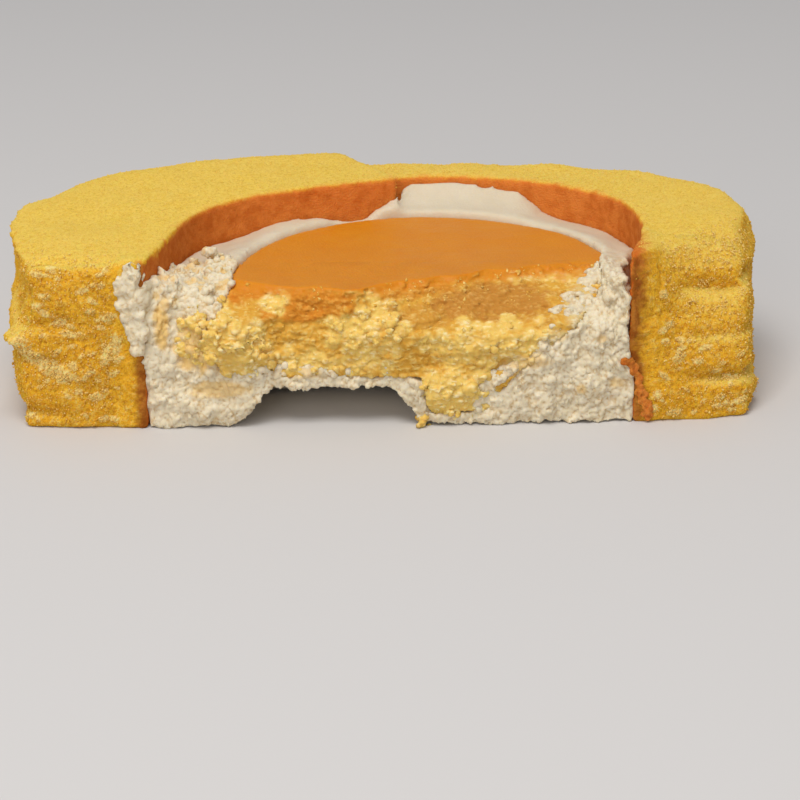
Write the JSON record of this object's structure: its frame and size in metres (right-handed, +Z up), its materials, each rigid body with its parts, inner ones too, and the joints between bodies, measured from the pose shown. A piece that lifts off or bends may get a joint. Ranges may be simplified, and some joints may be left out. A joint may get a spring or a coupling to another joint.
{
  "type": "roll cake",
  "caption": "Half of a ring-shaped roll cake, cut across, with whipped cream and a cheesecake core inside a sponge ring that meets in a slanting seam.",
  "frame": {"origin": "middle of the footprint of the half cake, on the surface that it stands on", "axes": "X along the cut, left to right as the cut is looked at; Y from the cut towards the round back; Z up"},
  "size_m": [0.124, 0.0633, 0.0289],
  "materials": {
    "sponge": "open-pored yellow sponge cake, browned on its inner side",
    "cream": "soft whipped cream",
    "cheesecake": "baked cheesecake, smooth orange-brown top, crumbly at the cut"
  },
  "bodies": {
    "root": {"sponge_left": "sponge", "sponge_right": "sponge", "cream": "cream", "cheesecake": "cheesecake"}
  },
  "joints": []
}
